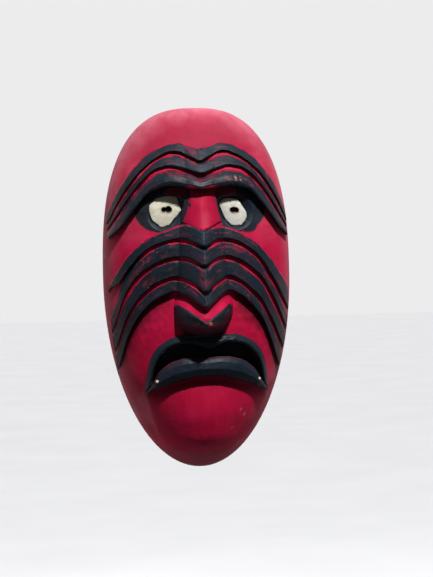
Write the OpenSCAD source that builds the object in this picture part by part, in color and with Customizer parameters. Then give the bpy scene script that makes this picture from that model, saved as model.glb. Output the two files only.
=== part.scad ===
// Carved and painted wooden face mask.
// Face towards -Y, +X to the viewer's right, +Z up, millimetres.
// Origin: the top middle of the flat back rim, where it meets the wall.

/* [Outline] */
// Width of the mask at its widest level
mask_w = 172; // [164:1:180]
// Height of the outline above the widest level
top_h = 153.5; // [146:0.5:160]
// Height of the outline below the widest level
chin_h = 176.5; // [168:0.5:184]

/* [Wood] */
// Depth of the plain face in front of the back rim
face_depth = 60; // [57:1:64]
// Depth of the hollow behind the face
hollow_depth = 46; // [42:1:47]
// Width of the flat back rim
rim_w = 9; // [8:0.5:10]
// How far the bands, nose and lips are let into the face
inlay = 3; // [2.5:0.25:3.5]

/* [Nose] */
// Height of the nose ridge above the face, at the tip
nose_rise = 28; // [24:1:32]

/* [Bands] */
// Height of the brow and cheek bands at their lower edge
band_rise = 4; // [3:0.25:5]
// Height of the lowest brow band, the roll over the eyes
roll_rise = 8.5; // [6:0.25:10]

/* [Eyes and mouth] */
// Half the distance between the peepholes
eye_x = 30.5; // [29:0.25:32]
// Radius of each of the two drillings that make a peephole
peep_r = 2.6; // [2.3:0.1:2.8]
// Depth of the mouth hollow under the face
mouth_deep = 9; // [7:0.5:9.5]
// How far the hand-carved mouth stands off the middle
mouth_x = 4; // [0:0.5:5]
// Radius of the two lip pegs
peg_r = 1.6; // [1.3:0.1:2]

/* [Ties and hanger] */
// Radius of the tie holes through the side walls
tie_r = 2.5; // [2:0.1:3]
// Radius of the ring's wire
wire_r = 0.95; // [0.9:0.01:0.97]
// Radius of the knuckle's bore
knuckle_bore_r = 1; // [1:0.01:1.02]
// Half width of the ring, to the middle of its wire
ring_half = 6.5; // [6.2:0.1:7]

/* [Hidden] */

red = "#b81e46";
black = "#28303a";
cream = "#d9d6c0";
wood = "#b58a5c";
steel = "#9a9da0";

eps = 0.01;
half_w = mask_w / 2;
sx = mask_w / 172;          // outlines are drawn for a mask 172 wide,
st = top_h / 153.5;         // 153.5 above its widest level
sb = chin_h / 176.5;        // and 176.5 below it
datum_z = top_h - rim_w / 2;

// Superellipse exponents of the outline above and below the widest level, and of the dome
top_p = 2.6;
chin_p = 2;
dome_p = 2.6;

// ---- surfaces -------------------------------------------------------------------------

// 1 on the outline and 0 in the middle
function rho(x, z, in = 0) = let (p = z >= 0 ? top_p : chin_p, b = (z >= 0 ? top_h : chin_h) - in)
  pow(pow(abs(x) / (half_w - in), p) + pow(abs(z) / b, p), 1 / p);
function dome(r, depth) = depth * sqrt(max(0, 1 - pow(min(r, 1), dome_p)));
function hump(v, middle, reach) = exp(-pow((v - middle) / reach, 2));
function table(z, t, i = 0) = z >= t[i][0] ? t[i][1]
  : i == len(t) - 1 ? t[i][1]
  : z >= t[i + 1][0] ? t[i + 1][1] + (t[i][1] - t[i + 1][1]) * (z - t[i + 1][0]) / (t[i][0] - t[i + 1][0])
  : table(z, t, i + 1);

// Depth of the face without its nose: dome, chin and brow
chin_rise = 11;
brow_rise = 5;
function skin(x, z) = let (r = rho(x, z), fade = 1 - pow(min(r, 1), 6))
  dome(r, face_depth) + fade * (chin_rise * hump(x, 0, 46) * hump(z, -135, 30) + brow_rise * hump(z, 92, 15));

// Nose: ridge height and half width from the brow down to the lip, and the flare of its wings
nose_ridge = [[78, 0.1], [60, 0.32], [40, 0.47], [0, 0.76], [-38, 1], [-45, 0.9], [-55, 0]];
nose_half = [[78, 13], [60, 16], [40, 20], [0, 22], [-25, 26.5], [-39, 26.5], [-46, 22.5], [-55, 16]];
wing_rise = 7;
function nose(x, z) = let (w = table(z, nose_half), u = min(abs(x) / w, 1))
  nose_rise * table(z, nose_ridge) * (1 - pow(u, 1.4))
  + (1 - pow(u, 4)) * wing_rise * hump(abs(x), 20, 7) * hump(z, -34, 9);
function relief(x, z) = skin(x, z) + nose(x, z);

// ---- curves ---------------------------------------------------------------------------

function sized(p) = [for (q = p) [q[0] * sx, q[1] * (q[1] >= 0 ? st : sb)]];
function knot(p, i) = i < 0 ? 2 * p[0] - p[1] : i >= len(p) ? 2 * p[len(p) - 1] - p[len(p) - 2] : p[i];
function spline(a, b, c, d, s) =
  b + (c - a) * s / 2 + (2 * a - 5 * b + 4 * c - d) * s * s / 2 + (3 * b - a - 3 * c + d) * s * s * s / 2;
// A smooth line through the points of p, as n + 1 stations
function line(p, n) = [for (k = [0 : n])
  let (t = k / n * (len(p) - 1), i = min(floor(t), len(p) - 2))
  spline(knot(p, i - 1), knot(p, i), knot(p, i + 1), knot(p, i + 2), t - i)];
function both_sides(l) = concat([for (k = [len(l) - 1 : -1 : 1]) [-l[k][0], l[k][1]]], l);

// ---- solids ---------------------------------------------------------------------------

// A strip that follows the face between two lines. crown = [place across, height over the
// face] from line a to line b; under = how deep it goes below the face.
module strip(a, b, crown, under, on_nose = true) {
  n = len(a);
  m = len(crown);
  function at(k, w) = a[k] + (b[k] - a[k]) * w;
  function top_pt(k, c) = let (q = at(k, c[0])) [q[0], -relief(q[0], q[1]) - c[1], q[1]];
  function low_pt(k, c) = let (q = at(k, c[0]))
    [q[0], under - (on_nose ? relief(q[0], q[1]) : skin(q[0], q[1])), q[1]];
  loop = 2 * m;
  pts = [for (k = [0 : n - 1]) each concat([for (c = crown) top_pt(k, c)],
    [for (j = [m - 1 : -1 : 0]) low_pt(k, crown[j])])];
  walls = [for (k = [0 : n - 2]) for (j = [0 : loop - 1]) let (i = k * loop, q = (j + 1) % loop)
    each [[i + j, i + loop + j, i + loop + q], [i + j, i + loop + q, i + q]]];
  ends = [[for (j = [0 : loop - 1]) j], [for (j = [loop - 1 : -1 : 0]) (n - 1) * loop + j]];
  polyhedron(pts, concat(walls, ends), convexity = 8);
}

stations = 16;
function lined(p, off = 0) = [for (q = both_sides(line(sized(p), stations))) [q[0] + off, q[1]]];
band_crown = [[0, 0.8], [0.14, 2.4], [0.92, band_rise], [1, band_rise - 0.5]];
roll_crown = [[0, 1], [0.12, 3], [0.4, 6.5], [0.75, roll_rise], [1, roll_rise - 2]];
lip_crown = [[0, 1.5], [0.2, 4], [0.55, 5.5], [0.85, 4.5], [1, 2]];
lower_lip_crown = [[0, 3.5], [0.25, 7], [0.6, 8.5], [0.88, 6.5], [1, 3]];
function clear(crown) = [for (c = crown) [c[0], 40]];

// Brow: upper and lower edge of each band, from the middle to the rim
brow_1_top = [[0, 112], [9, 116.5], [20, 119.5], [40, 113.5], [52, 104.5], [62, 93], [72, 78.5], [83, 54]];
brow_1_low = [[0, 101], [10, 107], [21, 111.5], [36, 107], [49, 97.5], [60, 85.5], [71, 69.5], [82.6, 48]];
brow_2_top = [[0, 99], [11, 104.5], [24, 108], [38, 103.5], [50, 93.5], [60.5, 81], [71, 66], [82.5, 45.5]];
brow_2_low = [[0, 89], [13, 94.5], [27, 98], [39, 95], [50, 87], [60.5, 74.5], [71, 59.5], [82.4, 43]];
roll_top = [[0, 86], [12, 91.5], [27, 94.5], [41, 90.5], [52, 82], [61, 71.5], [71, 56.5], [82.2, 40.5]];
roll_low = [[0, 76], [14, 78.5], [30, 79.5], [44, 75.5], [54.5, 65], [63, 54], [72, 43], [81.5, 35]];

// Cheeks: the same for the four bands that cross the nose
cheek_1_top = [[0, 39], [9, 42.5], [18, 43.5], [29, 41], [42, 36], [55, 27], [65, 16], [73, 4], [81, -9]];
cheek_1_low = [[0, 24], [7, 28.5], [16, 32], [26, 32], [38, 28], [49, 21], [58, 11.5],
  [68, -5], [81.5, -33]];
cheek_2_top = [[0, 22], [7, 26.5], [16, 30], [26, 30], [38, 26], [48.5, 19], [57, 9.5],
  [66.5, -7], [80.5, -35.5]];
cheek_2_low = [[0, 7], [8, 13], [17, 16.5], [27, 16], [38, 11.8], [48, 5.5], [58, -4],
  [67.5, -20.5], [80, -51]];
cheek_3_top = [[0, 5], [8, 11], [17, 14.5], [27, 14], [37.5, 9.8], [47, 3.5],
  [56.5, -6], [66, -22.5], [79.2, -53.5]];
cheek_3_low = [[0, -17], [8, -8.5], [16, -3.5], [25, -1], [36, -5], [46, -12],
  [56, -22.5], [65.5, -39.5], [77, -68]];
cheek_4_top = [[0, -19], [8, -10.5], [16, -5.5], [25, -3], [35.5, -7], [45, -14],
  [55, -24.5], [64.5, -41.5], [76, -70.5]];
cheek_4_low = [[0, -29], [8, -22.5], [16, -16.5], [25, -14], [35, -18], [45, -25],
  [55, -37], [63.5, -54], [73.5, -85]];

// Lips and the mouth between them
lip_top = [[0, -53], [20, -52.5], [34, -55.5], [45, -63], [51.5, -74], [55, -89], [56.5, -103]];
lip_low = [[0, -67], [8, -63], [18, -60.5], [31, -62.5], [41, -70], [47, -80], [50.5, -95]];
mouth_low = [[0, -74], [9, -73], [22, -73.7], [34, -78], [43, -85], [47.5, -91], [50, -95.5]];
lower_lip_top = [[0, -74], [9, -73], [22, -73.7], [34, -78], [43, -85], [49, -94.5], [55, -103.6]];
lower_lip_low = [[0, -89.5], [10, -90.3], [21, -92.5], [32, -95.5], [41, -98.7],
  [49, -102], [55.5, -105.5]];

module band(a, b, crown = band_crown, off = 0) { strip(lined(a, off), lined(b, off), crown, inlay); }
module band_cut(a, b, crown = band_crown, off = 0) { band(a, b, clear(crown), off); }

// Between the nose and the rim the cheek bands stand off the middle, as carved by hand
drift = -3;                 // whole shift, reached at drift_to from the middle and kept up to drift_back
drift_to = 45;
drift_back = 65;
drift_end = 80;             // no shift left here
function ramp(v, from, to) = max(0, min(1, (v - from) / (to - from)));
function drift_at(x) = drift * ramp(x, drift_end - drift_back, drift_to) * ramp(x, drift_end, drift_back);
function drifted(l) = [for (q = l) [q[0] + drift_at(abs(q[0])), q[1]]];
module cheek(a, b, crown = band_crown) { strip(drifted(lined(a)), drifted(lined(b)), crown, inlay); }
module cheek_cuts() {
  cheek(cheek_1_top, cheek_1_low, clear(band_crown));
  cheek(cheek_2_top, cheek_2_low, clear(band_crown));
  cheek(cheek_3_top, cheek_3_low, clear(band_crown));
  cheek(cheek_4_top, cheek_4_low, clear(band_crown));
}

// Nose, as one strip across the face from the brow down to the lip
nose_from = 76;
nose_to = -55;
nose_stations = 27;
nose_z = [for (k = [0 : nose_stations]) nose_from + (nose_to - nose_from) * k / nose_stations];
nose_across = [0, 0.12, 0.25, 0.37, 0.45, 0.5, 0.55, 0.63, 0.75, 0.88, 1];
function nose_side(s) = [for (z = nose_z) [s * table(z, nose_half), z]];
module nose_block(height) {
  strip(nose_side(1), nose_side(-1), [for (w = nose_across) [w, height]], inlay, false);
}
// Everything below the V that divides the red bridge from the black tip
tip_zone_deep = 130;        // passes right through the nose, front to back
module tip_zone() {
  rotate([90, 0, 0]) linear_extrude(tip_zone_deep)
    polygon([[-34, -33], [-23, -25], [0, -41], [23, -25], [34, -33], [34, -66], [-34, -66]]);
}

// Face shell: rings of points from the middle of the face out to the rim and back inside
around = 64;
front_rings = 16;
back_rings = 8;
function edge(a, in) = let (c = cos(a), s = sin(a), k = rho(c, s, in)) [c / k, s / k];
function ring_at(r, in, back) = [for (i = [0 : around - 1]) let (e = edge(i * 360 / around, in) * r)
  [e[0], back ? -dome(r, hollow_depth) : -skin(e[0], e[1]), e[1]]];
module shell_block() {
  rings = concat([for (j = [1 : front_rings]) ring_at(sin(90 * j / front_rings), 0, false)],
    [for (j = [back_rings : -1 : 1]) ring_at(sin(90 * j / back_rings), rim_w, true)]);
  n = len(rings);
  pts = concat([[0, -skin(0, 0), 0]], [for (r = rings) each r], [[0, -hollow_depth, 0]]);
  last = len(pts) - 1;
  faces = concat(
    [for (i = [0 : around - 1]) [0, 1 + (i + 1) % around, 1 + i]],
    [for (j = [0 : n - 2]) for (i = [0 : around - 1])
      let (p = 1 + j * around, q = p + around, k = (i + 1) % around)
      each [[p + i, p + k, q + k], [p + i, q + k, q + i]]],
    [for (i = [0 : around - 1]) [last, last - around + i, last - around + (i + 1) % around]]);
  polyhedron(pts, faces, convexity = 8);
}

// Eyes
eye_left_z = 59;
eye_right_z = 57.5;
function eye_z(side) = side < 0 ? eye_left_z : eye_right_z;
eye_front = 51;             // depth of the white's face
eye_thick = 4.5;
// Hand-cut outline of each white around its peephole, +x away from the nose
white_left = [[-0.6, 12], [9, 10], [15, 4.2], [15.5, -1.1], [12.8, -9.5], [5.2, -15.5], [-2.4, -13.8],
  [-13.5, -0.8], [-12.6, 2.7], [-10, 11.4]];
white_right = [[3.4, 10.6], [7.6, 8], [11, -1.1], [11.6, -6.5], [6.5, -13.8], [-2.7, -13.6], [-8.8, -6.8],
  [-13, 3.4], [-14, 7.6], [-9.2, 10.6]];
module eye_prism(side, from, thick) {
  translate([side * eye_x, -from, eye_z(side)]) rotate([90, 0, 0]) linear_extrude(thick)
    polygon([for (q = side < 0 ? white_left : white_right) [side * q[0], q[1]]]);
}
peep_gap = 1.7;
peep_slant = 28;            // the peepholes rise towards the wearer, who looks down through them
module peephole(side, r) {
  for (s = [-1, 1]) translate([side * eye_x + s * peep_gap, -eye_front, eye_z(side)])
    rotate([90 + peep_slant, 0, 0]) translate([0, 0, -30]) cylinder(r = r, h = 50, $fn = 32);
}
module eye_disc(side) {
  difference() {
    eye_prism(side, eye_front - eye_thick, eye_thick);
    peephole(side, peep_r);
  }
}
socket_size = [24, 10, 17.5];
module socket(side) {
  translate([side * 33, -58.5, 57.5]) scale(socket_size) sphere(r = 1, $fn = 28);
}

// Lip pegs
peg_at = [46, -94];         // from the middle of the mouth
peg_long = 12;
peg_front = 7.8;            // height of a peg's end over the face
module peg(side, r, long) {
  x = mouth_x + side * peg_at[0];
  translate([x, -skin(x, peg_at[1]) - peg_front, peg_at[1]])
    rotate([-90, 0, 0]) cylinder(r = r, h = long, $fn = 32);
}
peg_play = 0.05;

// Hanger: a block left in the top of the hollow, a strap with a knuckle, a ring and two screws
block_y = 12;
axis_y = -9;
axis_z = 129;
strap_w = 11;
strap_t = 1.2;
strap_low = 110;
knuckle_r = 2.2;
knuckle_w = 9;
screw_z = [123, 114];
screw_r = 1.4;
screw_head_r = 2.6;
screw_long = 11;
block_half_w = 13;
block_side = [[-block_y, 105], [-block_y, 137], [-24, 137], [-38, 105]];
module hanging_block() {
  rotate([90, 0, 90]) translate([0, 0, -block_half_w]) linear_extrude(2 * block_half_w) polygon(block_side);
}
module screw(z, r, head_r) {
  translate([0, strap_t - block_y, z]) rotate([90, 0, 0]) {
    cylinder(r = r, h = screw_long);
    cylinder(r1 = head_r, r2 = r, h = strap_t);
  }
}
tie_at = [9, 20];           // depth and height of the holes' middle
tie_tilt = 12;              // they are drilled square to the wall, which slopes inwards
tie_long = 30;
module tie_hole(side) {
  translate([side * (half_w - 5.5), -tie_at[0], tie_at[1]]) rotate([0, 0, -side * tie_tilt]) rotate([0, side * 90, 0])
    translate([0, 0, -tie_long / 2]) cylinder(r = tie_r, h = tie_long);
}

module placed() { translate([0, 0, -datum_z]) children(); }

// ---- sub-parts ------------------------------------------------------------------------

module face_shell() {
  color(red) placed() difference() {
    resize([0, 0, 0]) difference() {
      union() {
        shell_block();
        hanging_block();
      }
      band_cut(brow_1_top, brow_1_low);
      band_cut(brow_2_top, brow_2_low);
      band_cut(roll_top, roll_low, roll_crown);
      cheek_cuts();
      nose_block(40);
      band_cut(lip_top, lip_low, lip_crown, mouth_x);
      band_cut(lower_lip_top, lower_lip_low, lower_lip_crown, mouth_x);
      strip(lined(lip_low, mouth_x), lined(mouth_low, mouth_x), [[0, 30], [1, 30]], mouth_deep);
      for (s = [-1, 1]) {
        socket(s);
        eye_prism(s, eye_front - eye_thick, 30);
        peephole(s, peep_r + 0.3);
        peg(s, peg_r + peg_play, 40);
      }
    }
    for (s = [-1, 1]) tie_hole(s);
    for (z = screw_z) screw(z, screw_r, screw_r);
  }
}

module brow_band_upper() { color(black) placed() band(brow_1_top, brow_1_low); }
module brow_band_middle() { color(black) placed() band(brow_2_top, brow_2_low); }
module brow_roll() { color(black) placed() band(roll_top, roll_low, roll_crown); }
module cheek_band_1() { color(black) placed() cheek(cheek_1_top, cheek_1_low); }
module cheek_band_2() { color(black) placed() cheek(cheek_2_top, cheek_2_low); }
module cheek_band_3() { color(black) placed() cheek(cheek_3_top, cheek_3_low); }
module cheek_band_4() { color(black) placed() cheek(cheek_4_top, cheek_4_low); }

module nose_bridge() {
  color(red) placed() resize([0, 0, 0]) difference() {
    nose_block(0);
    cheek_cuts();
    tip_zone();
  }
}

module nose_tip() {
  color(black) placed() resize([0, 0, 0]) difference() {
    intersection() {
      nose_block(0);
      tip_zone();
    }
    cheek_cuts();
  }
}

module upper_lip() {
  color(black) placed() resize([0, 0, 0]) difference() {
    band(lip_top, lip_low, lip_crown, mouth_x);
    nose_block(40);
  }
}

module lower_lip() {
  color(black) placed() difference() {
    band(lower_lip_top, lower_lip_low, lower_lip_crown, mouth_x);
    for (s = [-1, 1]) peg(s, peg_r + peg_play, 40);
  }
}

module lip_pegs() { color(cream) placed() for (s = [-1, 1]) peg(s, peg_r, peg_long); }

module eye_disc_left() { color(cream) placed() eye_disc(-1); }
module eye_disc_right() { color(cream) placed() eye_disc(1); }

module hanger_strap() {
  color(steel) placed() difference() {
    union() {
      translate([-strap_w / 2, -block_y, strap_low]) cube([strap_w, strap_t, axis_z - strap_low]);
      translate([-knuckle_w / 2, axis_y, axis_z]) rotate([0, 90, 0]) cylinder(r = knuckle_r, h = knuckle_w);
    }
    translate([-knuckle_w, axis_y, axis_z]) rotate([0, 90, 0]) cylinder(r = knuckle_bore_r, h = 2 * knuckle_w);
    for (z = screw_z) screw(z, screw_r, screw_head_r);
  }
}

module hanger_screws() { color(steel) placed() for (z = screw_z) screw(z, screw_r, screw_head_r); }

ring_leg = 4;
module hanger_ring() {
  color(steel) placed() translate([0, axis_y, axis_z]) {
    translate([-ring_half, 0, 0]) rotate([0, 90, 0]) cylinder(r = wire_r, h = 2 * ring_half);
    for (s = [-1, 1]) translate([s * ring_half, 0, 0]) {
      sphere(r = wire_r);
      translate([0, 0, -ring_leg]) cylinder(r = wire_r, h = ring_leg);
    }
    translate([0, 0, -ring_leg]) rotate([-90, 0, 0]) rotate_extrude(angle = 180)
      translate([ring_half, 0]) circle(r = wire_r);
  }
}

$fn = 48;
face_shell();
brow_band_upper();
brow_band_middle();
brow_roll();
cheek_band_1();
cheek_band_2();
cheek_band_3();
cheek_band_4();
nose_bridge();
nose_tip();
upper_lip();
lower_lip();
lip_pegs();
eye_disc_left();
eye_disc_right();
hanger_strap();
hanger_screws();
hanger_ring();
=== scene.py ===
import math
import bpy
import numpy as np
from mathutils import Matrix, Vector


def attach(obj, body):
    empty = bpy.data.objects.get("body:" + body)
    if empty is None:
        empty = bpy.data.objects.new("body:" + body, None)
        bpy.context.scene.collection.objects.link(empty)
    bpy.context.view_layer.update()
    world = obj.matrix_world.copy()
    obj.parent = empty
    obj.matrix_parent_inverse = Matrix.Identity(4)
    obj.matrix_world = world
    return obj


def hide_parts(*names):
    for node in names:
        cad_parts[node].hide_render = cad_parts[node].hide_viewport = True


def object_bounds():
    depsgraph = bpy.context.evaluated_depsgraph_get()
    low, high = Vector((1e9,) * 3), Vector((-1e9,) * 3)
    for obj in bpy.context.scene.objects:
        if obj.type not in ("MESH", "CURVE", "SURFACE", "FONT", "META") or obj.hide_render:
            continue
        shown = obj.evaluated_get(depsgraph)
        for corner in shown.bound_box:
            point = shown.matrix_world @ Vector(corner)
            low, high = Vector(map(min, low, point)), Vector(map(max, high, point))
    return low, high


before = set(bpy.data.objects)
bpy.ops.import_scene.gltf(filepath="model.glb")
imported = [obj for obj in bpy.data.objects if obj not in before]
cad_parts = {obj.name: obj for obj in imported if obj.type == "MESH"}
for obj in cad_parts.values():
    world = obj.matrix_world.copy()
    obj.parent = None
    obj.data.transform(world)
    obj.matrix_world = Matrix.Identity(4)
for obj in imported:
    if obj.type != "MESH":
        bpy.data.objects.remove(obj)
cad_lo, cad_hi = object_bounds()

MM = 0.001
DATUM = 149.0        # the frame's origin is this far above the mask's widest level


# ------------ noise and small helpers
def lattice(seed):
    """A table of random values, the same for the same seed."""
    return np.random.RandomState(seed).rand(64, 64)


def noise(u, v, seed):
    """Smooth noise from -1 to 1."""
    t = lattice(seed)
    iu, iv = np.floor(u).astype(int), np.floor(v).astype(int)
    fu, fv = u - iu, v - iv
    fu, fv = fu * fu * (3 - 2 * fu), fv * fv * (3 - 2 * fv)
    a, b = t[iu % 64, iv % 64], t[(iu + 1) % 64, iv % 64]
    c, d = t[iu % 64, (iv + 1) % 64], t[(iu + 1) % 64, (iv + 1) % 64]
    return ((a * (1 - fu) + b * fu) * (1 - fv) + (c * (1 - fu) + d * fu) * fv) * 2 - 1


def fbm(u, v, seed, octaves=3):
    """Layers of noise, each twice as fine and half as strong."""
    return sum(noise(u * 2 ** k, v * 2 ** k, seed + k) / 2 ** k for k in range(octaves)) / 1.75


def scoops(u, v, seed):
    """Tool marks: 0 in the middle of each scoop, about 1 on the ridges between them."""
    r = np.random.RandomState(seed)
    jx, jy, tilt = r.rand(64, 64), r.rand(64, 64), r.rand(64, 64)
    iu, iv = np.floor(u).astype(int), np.floor(v).astype(int)
    best = np.full(u.shape, 9.0)
    for du in (-1, 0, 1):
        for dv in (-1, 0, 1):
            a, b = iu + du, iv + dv
            px = a + 0.15 + 0.7 * jx[a % 64, b % 64]
            py = b + 0.15 + 0.7 * jy[a % 64, b % 64]
            d = (u - px) ** 2 + (v - py) ** 2 + 0.15 * tilt[a % 64, b % 64]
            best = np.minimum(best, d)
    return best


def step(e0, e1, v):
    """Rises smoothly from 0 at e0 to 1 at e1."""
    t = np.clip((v - e0) / (e1 - e0), 0, 1)
    return t * t * (3 - 2 * t)


def hump(v, middle, reach):
    """1 at the middle, and nearly 0 at twice the reach."""
    return np.exp(-((v - middle) / reach) ** 2)


# ------------ the face, in millimetres
HALF_W, TOP_H, CHIN_H = 86.0, 153.5, 176.5
TOP_POWER, CHIN_POWER = 2.6, 2.0       # the outline is squarer above the widest level
FACE_DEPTH, HOLLOW_DEPTH, RIM_W = 60.0, 46.0, 9.0
DOME_POWER = 2.6
CHIN_BULGE, BROW_BULGE = 11, 5
NOSE_RISE = 28.0
WING_RISE = 7
MOUTH_X = 4.0        # the mouth stands off the middle of the face
LET_IN = 3.0         # the painted pieces reach this far into the shell


def rho(x, z, inner=0.0):
    """1 on the outline (moved in by inner), and 0 in the middle of the face."""
    up = z >= 0
    p = np.where(up, TOP_POWER, CHIN_POWER)
    b = np.where(up, TOP_H, CHIN_H) - inner
    return ((np.abs(x) / (HALF_W - inner)) ** p + (np.abs(z) / b) ** p) ** (1 / p)


def dome(r, depth):
    return depth * np.sqrt(np.maximum(0, 1 - np.minimum(r, 1) ** DOME_POWER))


def skin(x, z):
    """Depth of the plain face: a dome that is fuller at the chin and the forehead."""
    r = rho(x, z)
    fade = 1 - np.minimum(r, 1) ** 6
    chin = CHIN_BULGE * hump(x, 0, 46) * hump(z, -135, 30)
    return dome(r, FACE_DEPTH) + fade * (chin + BROW_BULGE * hump(z, 92, 15))


def nose_half(z):
    """Half width of the nose, from its underside up to the brow."""
    return np.interp(z, [-55, -46, -39, -25, 0, 40, 60, 78], [16, 22.5, 26.5, 26.5, 22, 20, 16, 13])


def nose(x, z):
    """How far the nose stands off the face: a ridge, and a wing on each side."""
    ridge = np.interp(z, [-55, -45, -38, 0, 40, 60, 78], [0, 0.9, 1, 0.76, 0.47, 0.32, 0.1])
    u = np.minimum(np.abs(x) / nose_half(z), 1)
    wings = (1 - u ** 4) * WING_RISE * hump(np.abs(x), 20, 7) * hump(z, -34, 9)
    return NOSE_RISE * ridge * (1 - u ** 1.4) + wings


def relief(x, z):
    return skin(x, z) + nose(x, z)


def line(points, n):
    """A smooth line through the points, from the middle of the face to its side."""
    p = np.array(points, float)
    p = np.vstack([2 * p[0] - p[1], p, 2 * p[-1] - p[-2]])
    t = np.linspace(0, len(points) - 1, n + 1)
    i = np.minimum(t.astype(int), len(points) - 2)
    s = (t - i)[:, None]
    a, b, c, d = p[i], p[i + 1], p[i + 2], p[i + 3]
    bend = (2 * a - 5 * b + 4 * c - d) * s * s / 2
    return b + (c - a) * s / 2 + bend + (3 * b - a - 3 * c + d) * s ** 3 / 2


STRIP_STEPS = 150    # steps from the middle of the face to each end of a band
V_ROUND = 3.0        # how softly the V of each band is rounded


def both(points):
    """The line and its mirror image, with the point of the V in the middle rounded."""
    half = line(points, STRIP_STEPS)
    full = np.vstack([half[:0:-1] * [-1, 1], half])
    x, z = full[:, 0].copy(), full[:, 1].copy()
    reach = V_ROUND * np.exp(-(x / (2.2 * V_ROUND)) ** 2)
    full[:, 1] = sum(np.interp(x + k * reach, x, z) for k in (-1, -0.5, 0, 0.5, 1)) / 5
    return full


# each band's upper and lower line, from the middle of the face to the rim
BROW = [
    ([[0, 112], [9, 116.8], [18, 119], [29, 118], [40, 113.5],
      [52, 104.5], [62, 93], [72, 78.5], [83, 54]],
     [[0, 101], [10, 107], [21, 111.5], [36, 107],
      [49, 97.5], [60, 85.5], [71, 69.5], [82.6, 48]]),
    ([[0, 99], [11, 104.5], [24, 108], [38, 103.5],
      [50, 93.5], [60.5, 81], [71, 66], [82.5, 45.5]],
     [[0, 89], [13, 94.5], [27, 98], [39, 95],
      [50, 87], [60.5, 74.5], [71, 59.5], [82.4, 43]]),
    ([[0, 86], [12, 91.5], [27, 94.5], [41, 90.5],
      [52, 82], [61, 71.5], [71, 56.5], [82.2, 40.5]],
     [[0, 76], [14, 78.5], [30, 79.5], [44, 75.5],
      [54.5, 65], [63, 54], [72, 43], [81.5, 35]])]
CHEEK = [
    ([[0, 39], [9, 42.5], [18, 43.5], [29, 41], [42, 36],
      [55, 27], [65, 16], [73, 4], [81, -9]],
     [[0, 24], [7, 28.5], [16, 32], [26, 32], [38, 28],
      [49, 21], [58, 11.5], [68, -5], [81.5, -33]]),
    ([[0, 22], [7, 26.5], [16, 30], [26, 30], [38, 26],
      [48.5, 19], [57, 9.5], [66.5, -7], [80.5, -35.5]],
     [[0, 7], [8, 13], [17, 16.5], [27, 16], [38, 11.8],
      [48, 5.5], [58, -4], [67.5, -20.5], [80, -51]]),
    ([[0, 5], [8, 11], [17, 14.5], [27, 14], [37.5, 9.8],
      [47, 3.5], [56.5, -6], [66, -22.5], [79.2, -53.5]],
     [[0, -17], [8, -8.5], [16, -3.5], [25, -1], [36, -5],
      [46, -12], [56, -22.5], [65.5, -39.5], [77, -68]]),
    ([[0, -19], [8, -10.5], [16, -5.5], [25, -3], [35.5, -7],
      [45, -14], [55, -24.5], [64.5, -41.5], [76, -70.5]],
     [[0, -29], [8, -22.5], [16, -16.5], [25, -14], [35, -18],
      [45, -25], [55, -37], [63.5, -54], [73.5, -85]])]
DRIFT = -3.0         # the cheek bands stand off the middle between the nose and the rim


def drift(x):
    """How far a cheek band's line moves sideways at x."""
    return DRIFT * np.clip((np.abs(x) - 15) / 30, 0, 1) * np.clip((80 - np.abs(x)) / 15, 0, 1)


LIP = ([[0, -53], [20, -52.5], [34, -55.5], [45, -63], [51.5, -74], [55, -89], [56.5, -103]],
       [[0, -67], [8, -63], [18, -60.5], [31, -62.5], [41, -70], [47, -80], [50.5, -95]])
MOUTH_LOW = [[0, -74], [9, -73], [22, -73.7], [34, -78], [43, -85], [47.5, -91], [50, -95.5]]
LOWER_LIP = ([[0, -74], [9, -73], [22, -73.7], [34, -78], [43, -85], [49, -94.5], [55, -103.6]],
             [[0, -89.5], [10, -90.3], [21, -92.5], [32, -95.5], [41, -98.7], [49, -102],
              [55.5, -105.5]])
PEG_X, PEG_Z = 46.0, -94.0       # each peg's distance from the mouth's middle, and height
PEG_HOLE_R = 1.65
SOCKET_X, SOCKET_Z = 33, 57.5
EYE_X, EYE_Z, EYE_FRONT = 30.5, {-1: 59.0, 1: 57.5}, 51.0       # -1 is the left eye in the photo
EYE_THICK, SEAT_DEPTH = 4.5, 48.8
PEEP_SLANT = math.tan(math.radians(28))       # the peepholes rise towards the wearer
# cut outline of each white around its peephole, +x away from the nose
WHITES = {-1: [[-0.6, 13], [9, 10.7], [15, 4.2], [15.5, -1.1], [12.8, -9.5], [5.2, -15.5],
               [-2.4, -13.8], [-13.5, -0.8], [-12.6, 2.7], [-10, 12.2]],
          1: [[2.6, 10.6], [5.6, 7.2], [10.6, -1.4], [11.6, -6.5], [6.5, -13.8], [-2.7, -13.6],
              [-8.8, -6.8], [-13, 3.4], [-14, 7.6], [-9.2, 11.4]]}
# the two round holes of each peephole: place away from the nose, radius
PEEP = {-1: ((-1.9, 2.9), (1.9, 2.3)), 1: ((-1.1, 2.7), (1.5, 2.5))}
PAINTED_HOLE_SHADE, BARE = (1, 1, 0, 0), (0, 0, 0, 1)       # painted shade, black and dark red, on the peepholes' walls, and bare wood


# ------------ meshes
def add(name, data):
    """A new object in the scene."""
    o = bpy.data.objects.new(name, data)
    bpy.context.scene.collection.objects.link(o)
    return o


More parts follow.
